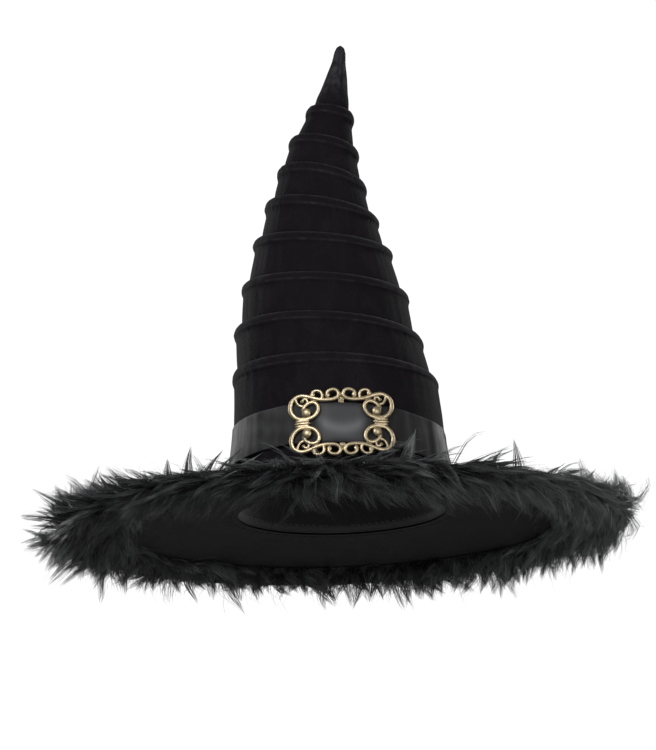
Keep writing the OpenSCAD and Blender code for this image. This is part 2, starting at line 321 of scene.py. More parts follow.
def add_node(m, kind, inputs=(), **settings):
    """A node of a material or world, with its settings made, and its inputs set or linked."""
    node = m.node_tree.nodes.new(kind)
    for key, value in settings.items():
        setattr(node, key, value)
    for key, value in dict(inputs).items():
        if isinstance(value, bpy.types.NodeSocket):
            m.node_tree.links.new(value, node.inputs[key])
        else:
            node.inputs[key].default_value = value
    return node


def plug(m, output, socket):
    """Links an output to a socket of the material's shader."""
    m.node_tree.links.new(output, m.node_tree.nodes["Principled BSDF"].inputs[socket])


def place(m, stretch=(1, 1, 1)):
    """The object's own coordinates, stretched."""
    coords = add_node(m, "ShaderNodeTexCoord").outputs["Object"]
    return add_node(m, "ShaderNodeMapping", {"Vector": coords, "Scale": stretch}).outputs["Vector"]


def noise(m, scale, detail=3.0, stretch=(1, 1, 1), distortion=0.0):
    """A noise from 0 to 1, with its scale in waves per metre."""
    return add_node(m, "ShaderNodeTexNoise", {
        "Vector": place(m, stretch), "Scale": scale, "Detail": detail, "Distortion": distortion,
    }).outputs["Fac"]


def span(m, value, low, high, to_low=0.0, to_high=1.0):
    """A value moved from one range to another, and kept inside it."""
    return add_node(m, "ShaderNodeMapRange", {
        "Value": value, "From Min": low, "From Max": high, "To Min": to_low, "To Max": to_high,
    }).outputs["Result"]


def maths(m, operation, a, b):
    """The result of one Math node."""
    return add_node(m, "ShaderNodeMath", {0: a, 1: b}, operation=operation).outputs[0]


def blend_colours(m, share, a, b):
    """Colour a where share is 0, and colour b where it is 1. Each is a colour or a socket."""
    a, b = (c if isinstance(c, bpy.types.NodeSocket) else (*c, 1) for c in (a, b))
    return add_node(m, "ShaderNodeMix", {0: share, 6: a, 7: b}, data_type="RGBA").outputs[2]


def waves(m, scale, distortion, direction):
    """Uneven bands from 0 to 1."""
    return add_node(m, "ShaderNodeTexWave", {
        "Vector": place(m), "Scale": scale, "Distortion": distortion, "Detail": 2.0,
    }, bands_direction=direction).outputs["Fac"]


def painted(m, name):
    """The numbers that paint() stored in the mesh."""
    return add_node(m, "ShaderNodeAttribute", attribute_name=name).outputs["Fac"]


def finish_material(m, colour, share, rough, bump, low=0, high=1, height=None):
    """Sets the colour, and lets the roughness and the bump follow the texture in share.

    rough is the roughness where share is low and where it is high. bump is its strength, and its
    depth in millimetres. The bump follows height instead, if that is given.
    """
    plug(m, colour, "Base Color")
    plug(m, span(m, share, low, high, *rough), "Roughness")
    strength, depth = bump
    relief = add_node(m, "ShaderNodeBump", {
        "Height": share if height is None else height, "Strength": strength,
        "Distance": depth * MM,
    })
    plug(m, relief.outputs["Normal"], "Normal")
    return m


def velvet_material(name, deep, pale, with_painted_sheen=False):
    """Short pile: patches where it lies another way, with a soft sheen at grazing angles."""
    m = new_material(name, deep, 0.9, Specular_IOR_Level=0.06, Sheen_Weight=0.07,
                     Sheen_Roughness=0.35, Sheen_Tint=(0.62, 0.58, 0.64, 1))
    patches = span(m, noise(m, 38, 4, (1, 1, 0.6), 1.2), 0.42, 0.70)
    fibres = span(m, noise(m, 900, 2, (1, 1, 0.4)), 0.35, 0.75)
    share = maths(m, "MULTIPLY", maths(m, "ADD", patches, 0.35), maths(m, "ADD", fibres, 0.1))
    colour = blend_colours(m, share, deep, pale)
    # Painted sheen: pale lines along the ridges, and a paler point, broken up by noise and mixed
    # into the colour.
    if with_painted_sheen:
        broken = span(m, noise(m, 130, 4), 0.36, 0.62, 0.2, 1)
        painted_sheen_pale_point = maths(m, "MULTIPLY", painted(m, "painted_sheen_pale_point"), broken)
        colour = blend_colours(m, painted_sheen_pale_point, colour, (0.043, 0.041, 0.045))
    return finish_material(m, colour, fibres, (0.8, 0.98), (0.70, 0.35))


def satin_material(name, deep, pale, roughness=0.56, gloss=0.17):
    """Smooth cloth with fine lengthwise threads and slight streaks across it."""
    m = new_material(name, deep, roughness, Specular_IOR_Level=gloss)
    streaks = span(m, noise(m, 120, 4, (1, 1, 0.12), 0.6), 0.35, 0.7)
    cloth = blend_colours(m, streaks, deep, pale)
    colour = blend_colours(m, painted(m, "shine"), cloth, (0.118, 0.121, 0.126))
    slubs = maths(m, "MULTIPLY", noise(m, 700, 3, (1, 1, 0.25)), 1.5)
    weave = maths(m, "ADD", waves(m, 420, 1.5, "Z"), slubs)
    rough = (roughness + 0.1, roughness - 0.06)
    return finish_material(m, colour, streaks, rough, (0.30, 0.15), height=weave)


def brass_material(name, dark, bright):
    """Antiqued brass: bright where it is rubbed, brown and dull in its hollows."""
    m = new_material(name, bright, 0.3, Metallic=0.88)
    pointiness = add_node(m, "ShaderNodeNewGeometry").outputs["Pointiness"]
    rubbed = span(m, pointiness, 0.46, 0.53)
    spots = span(m, noise(m, 350, 4), 0.3, 0.7)
    share = maths(m, "MULTIPLY", rubbed, span(m, spots, 0, 1, 0.55, 1))
    colour = blend_colours(m, share, dark, bright)
    return finish_material(m, colour, share, (0.6, 0.33), (0.25, 0.2), height=noise(m, 700))


def ribbed_material(name, deep, pale, ribs, roughness):
    """Ribs that run up and down, round the upright axis: ribs is their number."""
    m = new_material(name, deep, roughness, Specular_IOR_Level=0.3, Sheen_Weight=0.2,
                     Sheen_Roughness=0.4)
    parts = add_node(m, "ShaderNodeSeparateXYZ", {"Vector": place(m)})
    angle = maths(m, "ARCTAN2", parts.outputs["Y"], parts.outputs["X"])
    wave = maths(m, "SINE", maths(m, "MULTIPLY", angle, float(ribs)), 0.0)
    share = maths(m, "MULTIPLY", span(m, wave, -1, 1), span(m, noise(m, 300), 0.3, 0.7, 0.6, 1))
    colour = blend_colours(m, share, deep, pale)
    return finish_material(m, colour, share, (roughness + 0.1, roughness - 0.1), (0.4, 0.4))


def foam_material(name, deep, pale):
    """Open-cell foam."""
    m = new_material(name, pale, 0.95, Specular_IOR_Level=0.2)
    cells = add_node(m, "ShaderNodeTexVoronoi", {"Vector": place(m), "Scale": 700.0})
    share = span(m, cells.outputs["Distance"], 0.1, 0.7)
    return finish_material(m, blend_colours(m, share, deep, pale), share, (0.99, 0.85), (0.6, 0.5))


def cord_material(name, deep, pale):
    """Twisted cotton."""
    m = new_material(name, pale, 0.9, Specular_IOR_Level=0.2, Sheen_Weight=0.3)
    twist = waves(m, 260, 3, "DIAGONAL")
    return finish_material(m, blend_colours(m, twist, deep, pale), twist, (0.95, 0.8), (0.6, 0.5))


def knit_material(name, deep, pale):
    """The fur's knitted backing, matted with short hair."""
    m = new_material(name, deep, 0.95, Specular_IOR_Level=0.05, Sheen_Weight=0.03,
                     Sheen_Roughness=0.5)
    matted = span(m, noise(m, 260, 5, distortion=2), 0.35, 0.7)
    colour = blend_colours(m, matted, deep, pale)
    return finish_material(m, colour, matted, (0.98, 0.85), (0.8, 1))


def steel_material(name):
    """Drawn wire, with fine streaks along it."""
    m = new_material(name, (0.5, 0.5, 0.52), 0.35, Metallic=1.0)
    drawn = noise(m, 500, 3, (1, 1, 0.3))
    colour = blend_colours(m, drawn, (0.36, 0.36, 0.38), (0.6, 0.6, 0.62))
    return finish_material(m, colour, drawn, (0.28, 0.5), (0.2, 0.1), 0.2, 0.8)


def felt_material(name, deep, pale):
    """Pressed fibres of the brim's stiff core."""
    m = new_material(name, deep, 0.95, Specular_IOR_Level=0.1)
    fibres = noise(m, 600, 5, distortion=1.5)
    colour = blend_colours(m, fibres, deep, pale)
    return finish_material(m, colour, fibres, (0.85, 0.99), (0.5, 0.4), 0.3, 0.7)


# The fur's shades go from the hair's root to the lightest strands. They have no texture, since
# each strand is thinner than one would show: the variation is from strand to strand.
FUR_SHADES = [
    (0.0055, 0.0055, 0.0060),
    (0.0165, 0.0170, 0.0180),
    (0.0380, 0.0405, 0.0418),
    (0.0800, 0.0890, 0.0880),
    (0.1700, 0.1920, 0.1860),
]


def fur_materials():
    """One plain material for each of the fur's shades."""
    return [
        new_material(f"fur_shade_{i + 1}", shade, 0.36, Specular_IOR_Level=0.20,
                     Sheen_Weight=0.04, Sheen_Roughness=0.3)
        for i, shade in enumerate(FUR_SHADES)
    ]


velvet = velvet_material("velvet", (0.0050, 0.0042, 0.0052), (0.0106, 0.0092, 0.0108), with_painted_sheen=True)
facing_velvet = velvet_material("brim_facing", (0.0030, 0.0026, 0.0032), (0.0085, 0.0078, 0.0090))
satin = satin_material("satin", (0.0115, 0.0112, 0.0118), (0.0210, 0.0206, 0.0213), 0.58, 0.13)
lining_satin = satin_material("lining", (0.012, 0.011, 0.015), (0.024, 0.022, 0.029), 0.42, 0.3)
grosgrain = ribbed_material("sweatband", (0.004, 0.004, 0.0045), (0.012, 0.012, 0.013), 760, 0.7)
brass = brass_material("buckle_metal", (0.20, 0.140, 0.070), (0.68, 0.575, 0.385))
foam = foam_material("foam", (0.010, 0.010, 0.011), (0.030, 0.030, 0.032))
cotton = cord_material("cord", (0.008, 0.008, 0.009), (0.024, 0.024, 0.026))
knit = knit_material("fur_backing", (0.004, 0.004, 0.0045), (0.012, 0.012, 0.013))
steel = steel_material("wire")
felt = felt_material("brim_core", (0.016, 0.015, 0.016), (0.036, 0.035, 0.036))
thread = cord_material("thread", (0.012, 0.012, 0.013), (0.045, 0.044, 0.046))
fur_shades = fur_materials()

# ---- crown ----

CROWN_COLUMNS = 232
VELVET_T = 1.1
# Above this height the point is solid.
INSIDE_TOP = 480.0
# Where the lining starts and stops, and its thickness.
LINING_BOTTOM, LINING_TOP, LINING_T = 39.0, 331.0, 0.4

# A ridge is farthest out at its crest, and has a groove sewn in below the cord. The drops are
# distances down from its stitch line, and the depth goes inward.
RIDGE_CREST = 9.0
GROOVE_DROP, GROOVE_DEPTH = 12.4, 0.55
RIDGE_DROPS = [
    15, 14.2, 13.5, 13, 12.6, 12.2, 11.8, 11.2, 10.2, 9, 7.6, 6.2, 4.8, 3.6, 2.6, 1.8, 1.1,
    0.6, 0.25, 0,
]


def ridge_share(drop):
    """How far out the corded ridge stands, at a drop below its stitch line."""
    crest = np.sqrt(np.clip(1 - (1 - drop / RIDGE_CREST) ** 2, 0, 1))
    foot = 1 - (1 - RIDGE_FOOT_SHARE) * smooth_step(drop, RIDGE_CREST, RIDGE_FOOT)
    return crest if drop < RIDGE_CREST else foot


def crown_levels():
    """Rows of the velvet from the brim up: height, radius, nearness to a stitch line, painted
    sheen.
    """
    rows = [(z, wall_r(z), 0, 0) for z in np.linspace(CROWN_BOTTOM, ridge_foot(-1)[0], 44)]
    for k in range(len(TUCK_Z) - 1, -1, -1):
        gain = RIDGE_R[k] - TUCK_R[k]
        for drop in RIDGE_DROPS:
            groove = GROOVE_DEPTH * bell(drop - GROOVE_DROP, 1.9)
            r = TUCK_R[k] + gain * ridge_share(drop) - groove
            pull = max(bell(drop, 3.0), bell(drop - GROOVE_DROP, 2.4))
            # Painted sheen: two pale lines on each ridge, one near its top and one at its crest.
            sheen_and_point_share = max(0.5 * bell(drop - 1.6, 1.0), 0.42 * bell(drop - GROOVE_DROP + 3.2, 0.9))
            rows.append((TUCK_Z[k] - drop, r, pull, sheen_and_point_share))
        if k == 0:
            break
        top_z, top_r = ridge_foot(k - 1)
        height = top_z - TUCK_Z[k]
        even = np.linspace(0.17, 1, max(6, int(height / 2.4)))
        for u in np.concatenate([[0.02, 0.06, 0.11], even]):
            puff = 0.9 * math.sin(math.pi * min(u, 1) ** 0.5)
            rows.append((TUCK_Z[k] + u * height, TUCK_R[k] + (top_r - TUCK_R[k]) * u + puff,
                         bell(u * height, 3.0), 0))
    heights, radii = np.array(POINT_SHAPE, float).T
    # On the point, the velvet is painted paler towards the tip.
    point_z = np.concatenate([np.linspace(437, 493, 26), [496, 498, 499.4, 500.3, 500.8]])
    for z in point_z:
        rows.append((z, float(np.interp(z, heights, radii)) + 0.6 * bell(z - 444, 6),
                     bell(z - 435, 3.0), 0.85 * smooth_step(z, 436, 466)))
    return np.array(rows, float)


def crown_relief(z, r, pull, angle):
    """How far the velvet stands off its level: puckers, creases, dents and the back seam."""
    size = np.clip(r / 60, 0.12, 1)
    plain = smooth_step(z, PLAIN_TOP - 2, PLAIN_TOP + 14)
    puckers = ripples(angle, z, (61, 74, 88, 53), 5, 0.02) * pull * (0.25 + 0.3 * size)
    section = np.searchsorted(np.sort(TUCK_Z), z[:, 0], side="right")
    creases = np.zeros((len(z), CROWN_COLUMNS))
    for k in range(len(TUCK_Z) + 1):
        here = section == k
        creases[here] = ripples(angle, z[here], (9, 14, 21, 33, 47), 40 + k, 0.03)
    slack = (1 - pull) * (0.15 + 0.85 * plain)
    dents = ripples(angle, z, (2, 3, 5), 9, 0.03) * (0.2 + 0.8 * plain) * size
    seam = bell(wrapped(angle - np.pi / 2) * r, 2.6) * 0.9 * (0.3 + 0.7 * size)
    return puckers + 0.30 * creases * slack * size + 0.55 * dents - seam


def crown_inside(levels):
    """Heights and radii of the velvet's inside: one thickness in, in fewer rows."""
    z, r, pull = levels.T[:3]
    keep = np.union1d(np.arange(0, len(z) - 12, 3), np.flatnonzero(pull > 0.99))
    keep = keep[z[keep] < INSIDE_TOP]
    dz, dr = np.gradient(z[keep]), np.gradient(r[keep])
    shift = VELVET_T / np.hypot(dz, dr)
    return z[keep] + shift * dr, r[keep] - shift * dz


def make_crown():
    """The velvet of the crown and its point, in one piece, gathered at each stitch line."""
    levels = crown_levels()
    z, r, pull, sheen_and_point_share = (levels[:, i : i + 1] for i in range(4))
    angle = around(CROWN_COLUMNS)
    outer = crown_points(z, r + crown_relief(z, r, pull, angle), angle)
    inner = crown_points(*(values[:, None] for values in crown_inside(levels)), angle)
    inner[0, :, 2] = CROWN_BOTTOM
    obj = make_tube("crown_cover", np.concatenate([inner[::-1], outer]), velvet)
    # The painted sheen and the paler point, uneven round the crown, are stored for the velvet's
    # colour.
    uneven = sheen_and_point_share * (0.75 + 0.35 * ripples(angle, z, (5, 8, 13), 77, 0.05))
    painted_sheen_pale_point = np.concatenate([np.zeros(inner.shape[0] * CROWN_COLUMNS), uneven.ravel(), [0, 0]])
    paint(obj, "painted_sheen_pale_point", np.clip(painted_sheen_pale_point, 0, 1))
    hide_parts("crown_velvet", "tip_velvet")
    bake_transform(obj)
    return obj


def make_lining():
    """Satin inside the crown, gathered a little, and closed by a gathered top."""
    low, high, rows = LINING_BOTTOM, LINING_TOP, 96
    plan = [(low, wall_r(low - 2) - LINING_OUT), (PLAIN_TOP, wall_r(PLAIN_TOP) - LINING_OUT)]
    plan += [(TUCK_Z[k] - 2, TUCK_R[k] - LINING_OUT) for k in range(7, 2, -1)]
    heights, radii = np.array(plan, float).T
    z = np.append(np.linspace(low, high, rows), [high + 0.8, *[high + 1.2] * 4])[:, None]
    close = np.append(np.ones(rows), [0.985, 0.93, 0.7, 0.4, 0.12])[:, None]
    angle = around(columns=180)
    gathers = 0.5 + 0.5 * ripples(angle, z, (11, 17, 26, 38), 21, 0.02)
    depth = 0.2 + 2.0 * smooth_step(z, 60, 120) * np.clip(gathers, 0, 1.2)
    r = np.interp(z, heights, radii) * close - depth * close
    outer = crown_points(z, r, angle)
    inner = crown_points(z - np.where(close < 1, 0.5, 0), np.maximum(r - LINING_T, 1), angle)
    inner[0, :, 2] = outer[0, :, 2]
    obj = make_tube("crown_satin_lining", np.concatenate([inner[::-1], outer]), lining_satin)
    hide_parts("crown_lining")
    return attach(obj, "hat")


def make_sweatband():
    """A ribbed ribbon inside the head opening, whose lower edge turns out to the seam."""
    low, high = CROWN_BOTTOM + 1, CROWN_BOTTOM + 1 + SWEATBAND_H
    angle = around(columns=240)
    z = np.concatenate([np.linspace(low, low + 8, 9), np.linspace(low + 10, high - 1, 12), [high]])
    z = z[:, None]
    flare = 3.6 * (1 - smooth_step(z, low, low + 7)) ** 1.5
    wave = 0.25 * ripples(angle, z, (7, 11, 16), 31, 0.02) * smooth_step(z, low + 6, high)
    lap = 0.5 * (1 - smooth_step(np.abs(wrapped(angle - np.pi / 2)), 0.1, 0.13))
    hem = 0.5 * bell(z - high, 0.6)
    inner_r = SWEATBAND_R + 0.3 + flare + wave - lap * 0.8 + hem * 0.6
    outer_r = SWEATBAND_R + SWEATBAND_T - 0.15 + flare + wave - hem * 0.6
    inner, outer = round_points(inner_r, z, angle), round_points(outer_r, z, angle)
    obj = make_hoop("sweatband_ribbon", np.concatenate([inner[::-1], outer]), grosgrain)
    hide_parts("sweatband")
    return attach(obj, "hat")


def add_stitch(lump, middle, along, out, length, radius):
    """One stitch: a thread that dips into the cloth at both ends."""
    t = np.linspace(-1, 1, 7)
    rise = radius * (0.9 - 2.2 * t**4)
    line = middle + np.outer(t * length / 2, along) + np.outer(rise, out)
    a = around(columns=6).T
    ring = np.cos(a) * np.cross(along, out) + np.sin(a) * out
    lump.add_tube(line[:, None, :] + ring[None] * radius)


def make_sweatband_stitches():
    """The row of slanting stitches along the sweatband's lower edge."""
    count, length, radius = 96, 4.0, 0.3
    z = CROWN_BOTTOM + 7.5
    lump = Lump()
    for i in range(count):
        a = 2 * np.pi * i / count
        radial = np.array([math.cos(a), math.sin(a), 0])
        along = np.array([-0.94 * math.sin(a), 0.94 * math.cos(a), 0.34])
        add_stitch(lump, radial * (SWEATBAND_R + 0.35) + [0, 0, z], along, -radial, length, radius)
    obj = lump.build("sweatband_stitching", thread)
    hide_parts("sweatband_stitches")
    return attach(obj, "hat")


# ---- brim ----


def make_facing(name, node, side, inner_reach):
    """Velvet on one face of the brim, slightly gathered into the seam at the crown."""
    angle = around(columns=300)
    near = np.linspace(BRIM_HOLE_R - 0.45, BRIM_HOLE_R + 24, 16)
    r = np.concatenate([near, np.linspace(BRIM_HOLE_R + 28, BRIM_R - 0.2, 36)])[:, None]
    gather = bell(r - BRIM_HOLE_R, 9) * (0.35 * ripples(angle, r, (37, 52, 71, 95), 61, 0.02))
    slack = 0.35 * ripples(angle, r, (3, 5, 8, 13), 67, 0.02)
    lift = np.clip(gather + slack * smooth_step(r, BRIM_HOLE_R, BRIM_HOLE_R + 30), -0.45, 0.6)
    seam_dip = 0.7 * bell(r - BRIM_HOLE_R, 2.5)
    out_z = brim_z(r) + side * (FACING_FROM + FACING_T - 0.1 + lift - seam_dip)
    in_z = brim_z(r) + side * (FACING_FROM + 0.05)
    outer, inner = round_points(r, out_z, angle), round_points(r, in_z, angle)
    if inner_reach:
        turned = np.linspace(BRIM_HOLE_R - inner_reach, BRIM_HOLE_R - 0.8, 6)[:, None]
        level = brim_z(BRIM_HOLE_R) - FACING_FROM - FACING_T + 0.3
        outer = np.concatenate([round_points(turned, level, angle), outer])
        inner = np.concatenate([round_points(turned, level + 0.5, angle), inner])
    rings = np.concatenate([outer[::-1], inner] if side > 0 else [outer, inner[::-1]])
    obj = make_hoop(name, rings, facing_velvet)
    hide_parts(node)
    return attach(obj, "hat")


# ---- ribbon ----

# Half the angle that the buckle passes over, in radians: the ribbon lies smooth there.
SLIDE_HALF = 0.62
# How far the ribbon's lower edge stands out and hangs at the sides of the crown.
SIDE_FLARE, SIDE_SAG = 4.5, 3.5


def ribbon_middle(azimuth, r):
    """Height of the ribbon's middle, with azimuth 0 at the front and +90 degrees at +X."""
    tilt = RIBBON_RISE / CROWN_R
    return RIBBON_Z + r * (np.cos(azimuth) * tilt - np.sin(azimuth) * math.tan(RIBBON_SLOPE))


def ribbon_surface(azimuth, across, layer):
    """Points of the ribbon's outer face. across is -1 at its lower edge, and 1 at its upper."""
    az = wrapped(azimuth)
    z = ribbon_middle(az, CROWN_R - 4) + across * RIBBON_W / 2
    bridge = 1 - smooth_step(np.abs(az), BRIDGE_HALF - 0.10, BRIDGE_HALF + 0.16)
    base = LAYER_GAP + RIBBON_T + (BRIDGE_IN - LAYER_GAP) * bridge
    near = 1 - smooth_step(np.abs(az), SLIDE_HALF, SLIDE_HALF + 0.2)
    left = bell(az + 0.95, 0.55)
    pinch = bell(np.abs(az) - 0.42, 0.12)
    soft = ripples(azimuth, across * 30, (6, 10, 15), 83, 0.06)
    upright = ripples(azimuth, across * 30, (27, 41, 58), 85, 0.05)
    lengthwise = np.sin(across * 4.2 + 2.4 * np.sin(azimuth * 2 + 0.5)) * (0.5 + 0.5 * soft)
    folds = 0.40 * soft + (0.08 + 0.14 * left) * upright
    folds = folds + (0.22 + 0.20 * left) * lengthwise + 0.5 * pinch * np.sin(across * 9 + az * 3)
    folds = np.clip(folds + 0.35, -0.1, 1.8) * (1 - 0.9 * near)
    edges = smooth_step(np.abs(across), 0.86, 1.0)
    lift = (0.25 + 0.3 * left) * edges * (0.6 + 0.4 * soft) * (1 - near)
    out = base + folds * (1 - 0.5 * edges) + lift + layer
    sides = smooth_step(np.abs(az), 0.75, 1.25) * (1 - smooth_step(np.abs(az), 2.0, 2.8))
    out = out + SIDE_FLARE * sides * (0.5 - 0.5 * across) ** 1.6
    z = z - SIDE_SAG * sides * (0.5 - 0.5 * across)
    r = wall_r(z) + out
    return points_at(r * np.sin(az), -r * np.cos(az), z)


def ribbon_shine(azimuth, across):
    """Where the satin catches the light: in the buckle's window, and to the left of it."""
    az = wrapped(azimuth)
    window = 1 - smooth_step(np.abs(az), 0.13, 0.26)
    smile = across - 0.10 + 0.42 * (1 - (az / 0.2) ** 2)
    glow = 0.36 + 0.60 * bell(smile, 0.30) - 0.3 * smooth_step(np.abs(across), 0.7, 1)
    creases = 0.5 + 0.5 * ripples(azimuth, across * 12, (19, 31, 44), 91, 0.05)
    slanted = 0.5 + 0.5 * np.sin(7 * across + 9 * az + 2.5 * creases)
    left = 0.15 * bell(az + 0.85, 0.5)
    left = left * (0.25 + 0.6 * creases + 0.75 * slanted) * (0.9 + 0.3 * across)
    return np.clip(window * glow + left * (1 - window), 0, 1)


def make_ribbon():
    """The satin ribbon, once round the crown and a short way over its own start."""
    columns, rows, thickness = 620, 27, 0.35
    start, turn = math.radians(LAP_ANGLE - 7), 2 * math.pi + math.radians(14)
    az = start + np.linspace(0, turn, columns)[:, None]
    over = smooth_step(az, start + turn - math.radians(22), start + turn - math.radians(15))
    across = np.linspace(-1, 1, rows)[None, :]
    front = ribbon_surface(az, across, over)
    back = front - thickness * points_at(np.sin(az), -np.cos(az), 0)
    obj = make_tube("satin_ribbon", np.concatenate([front, back[:, ::-1]], axis=1), satin)
    glow = ribbon_shine(az, across)
    paint(obj, "shine", np.append(np.concatenate([glow, 0 * glow], axis=1), [0, 0]))
    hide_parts("hat_band")
    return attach(obj, "hat")


def make_lap_stitches():
    """Small stitches down the ribbon's lapped end."""
    count, length, radius = 9, 2.6, 0.28
    azimuth = math.radians(LAP_ANGLE + 5.2)
    lump = Lump()
    for across in np.linspace(-0.82, 0.82, count):
        middle = ribbon_surface(np.array(azimuth), np.array(across), 1.0)
        out = np.array([math.sin(azimuth), -math.cos(azimuth), 0])
        along = np.array([0.9 * math.cos(azimuth), 0.9 * math.sin(azimuth), 0.43])
        add_stitch(lump, middle, along, out, length, radius)
    obj = lump.build("lap_stitching", thread)
    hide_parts("band_stitches")
    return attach(obj, "hat")


# ---- buckle ----

# One quarter of the casting, as sideways and upward distances from its middle. Each row of
# SCROLLS gives a scroll's points, half its width at its start and at its end, and the radius of
# the ball that it ends in.
MAIN_SCROLL = [
    (35.0, 4.1), (39.0, 4.6), (42.9, 7.0), (45.8, 11.2), (46.8, 16.9), (44.6, 22.9), (39.7, 26.1),
    (35.1, 26.5), (30.1, 25.2), (24.1, 23.0), (18.0, 21.5), (11.9, 21.2), (6.3, 21.9),
    (3.0, 24.0), (2.2, 27.0), (3.9, 29.8), (7.0, 30.9), (10.8, 29.9), (13.0, 27.6), (12.4, 25.6),
]
INNER_SCROLL = [
    (37.0, 4.1), (32.4, 3.9), (28.0, 4.9), (24.2, 7.4), (21.8, 11.2), (21.4, 15.3), (23.4, 18.4),
    (26.9, 19.6), (30.9, 18.4), (34.0, 15.9), (35.2, 12.8), (34.2, 10.4), (32.4, 9.8),
]
CORNER_CURL = [
    (41.5, 23.4), (40.6, 20.6), (38.6, 17.8), (35.4, 16.6), (32.2, 17.8), (30.9, 20.4),
    (32.0, 22.8), (34.4, 23.0), (35.6, 21.4),
]
EDGE_CURL = [(18.0, 21.6), (17.2, 25.8), (18.9, 29.2), (22.6, 30.4), (25.9, 29.2), (26.2, 26.8)]
SCROLLS = [
    (MAIN_SCROLL, 2.05, 1.55, 2.5),
    (INNER_SCROLL, 1.95, 1.80, 4.4),
    (CORNER_CURL, 1.35, 1.10, 1.9),
    (EDGE_CURL, 1.55, 1.30, 2.4),
]
FRAME_MIDDLE = FRAME_IN + FRAME_T / 2
COLLAR_X = 36.2
BEAD_UP, TOP_BEAD_UP = 22.4, 22.4 * 1.16


def on_front(x, up, out):
    """A point of the buckle, curved with the front of the crown."""
    z = BUCKLE_Z + up
    r = wall_r(z) + out
    return points_at(x, -np.sqrt(r * r - x * x), z)


def add_scroll(lump, points, start_half, end_half, ball, mirror_x, mirror_z):
    """A scroll of the casting, round in section, that thins towards a ball at its end."""
    line = smooth_line(points, 7) * [mirror_x, mirror_z]
    ahead = unit(np.gradient(line, axis=0))
    side = np.stack([-ahead[:, 1], ahead[:, 0]], -1)
    share = np.linspace(0, 1, len(line))
    half = (start_half + (end_half - start_half) * share**1.5)[:, None]
    a = around(columns=12) * mirror_x * mirror_z
    flat = line[:, None, :] + side[:, None, :] * (half * np.cos(a))[..., None]
    depth = FRAME_MIDDLE + np.minimum(half, FRAME_T / 2) * np.sin(a)
    lump.add_tube(on_front(flat[..., 0], flat[..., 1], depth))
    add_ball(lump, line[-1], ball)


def add_ball(lump, centre, radius, squash=0.6):
    """A low dome, whose back is level with the back of the casting."""
    tilt = np.linspace(0.12, np.pi - 0.12, 9)[:, None]
    a = around(columns=14)
    x = centre[0] + radius * np.sin(tilt) * np.cos(a)
    up = centre[1] + radius * np.sin(tilt) * np.sin(a)
    out = FRAME_IN + radius * squash * (1 - np.cos(tilt))
    lump.add_tube(on_front(x, up, out))


def add_collar(lump, side):
    """Three bands that bind the upper and lower scrolls together at one side."""
    a = around(columns=12) * side
    t = np.linspace(-1, 1, 14)[:, None]
    taper = np.clip(1 - np.abs(t) ** 8, 0.35, 1)
    for up, length, proud in ((0.0, 7.4, 0.5), (2.4, 6.6, 0.1), (-2.4, 6.6, 0.1)):
        x = (COLLAR_X + t * length) * side
        out = FRAME_MIDDLE + proud + 0.5 * FRAME_T * taper * np.sin(a)
        lump.add_tube(on_front(x, up + 1.3 * taper * np.cos(a), out))


def make_buckle():
    """The scrollwork casting, fused into one piece."""
    lump = Lump()
    for mirror_x in (-1, 1):
        add_collar(lump, mirror_x)
        for mirror_z in (-1, 1):
            for scroll in SCROLLS:
                add_scroll(lump, *scroll, mirror_x, mirror_z)
    for mirror_z in (1, -1):
        add_ball(lump, (0, BEAD_UP * mirror_z), 1.2)
        add_ball(lump, (0, TOP_BEAD_UP * mirror_z), 1.9)
    obj = lump.build("buckle_casting", brass)
    fused = obj.modifiers.new("fused", "REMESH")
    fused.mode = "VOXEL"
    fused.voxel_size = 0.42 * MM
    soft = obj.modifiers.new("soft", "SMOOTH")
    soft.factor = 0.6
    soft.iterations = 3
    apply_modifiers(obj)
    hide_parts("buckle_frame")
    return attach(obj, "buckle")


# ---- fur ----

FUR_SECTORS = 12
TUFTS = 1900
HAIRS_PER_TUFT = 27
TUFT_SPREAD = 3.8
STRAY_HAIRS = 5200
WISPS = 46
HAIRS_PER_WISP, WISP_SPREAD = 7, 2.0
HAIRS_PER_LOCK, LOCK_SPREAD = 36, 3.8
FUR_SEED = 20261
# Where the hair on the brim's very edge grows, and how far out and down hair may reach.
EDGE_R = 263.6
FUR_LIMIT_R, FUR_LIMIT_LOW, FUR_FLOOR = 304.0, -15.0, -23.0
FRONT_PRESS = 0.85
HAIR_STEPS = 4
STRAND_SIDES = 3
STRAND_TAPER = np.array([1.0, 0.95, 0.75, 0.45])

# How the fur grows round the brim, against degrees from the front towards +X. Each row gives:
# how steeply the hair on top rises, how far it reaches outward, how steeply the hair on the
# edge rises, how steeply the hair below falls, and how long the hair is.
FUR_TABLE = [
    (-180, 0.70, 0.45, 0.00, 0.45, 31), (-150, 0.70, 0.45, -0.10, 0.30, 31),
    (-125, 0.75, 0.45, 0.00, 0.25, 32), (-100, 1.10, 0.45, 0.10, 0.55, 36),
    (-85, 1.25, 0.40, 0.30, 0.55, 37), (-60, 0.80, 0.35, 0.35, 0.20, 35),
    (-40, 0.40, 0.20, 0.25, 0.22, 34), (-22, -0.15, 0.15, -0.05, 0.40, 32),
    (-8, -0.60, 0.10, -0.25, 0.60, 33), (20, -0.80, 0.05, -0.45, 0.60, 33),
    (45, -0.85, 0.00, -0.50, 0.55, 33), (58, -0.40, -0.10, -0.20, 0.55, 32),
    (70, 0.60, -0.50, 0.20, 0.75, 30), (85, 1.40, -1.10, 0.10, 1.00, 31),
    (100, 1.20, -1.00, -0.20, 1.10, 31), (125, 0.70, -0.20, -0.60, 1.00, 30),
    (150, 0.70, 0.40, -0.40, 0.75, 31), (180, 0.70, 0.45, 0.00, 0.45, 31),
]
FUR_PARTING = math.radians(-9)

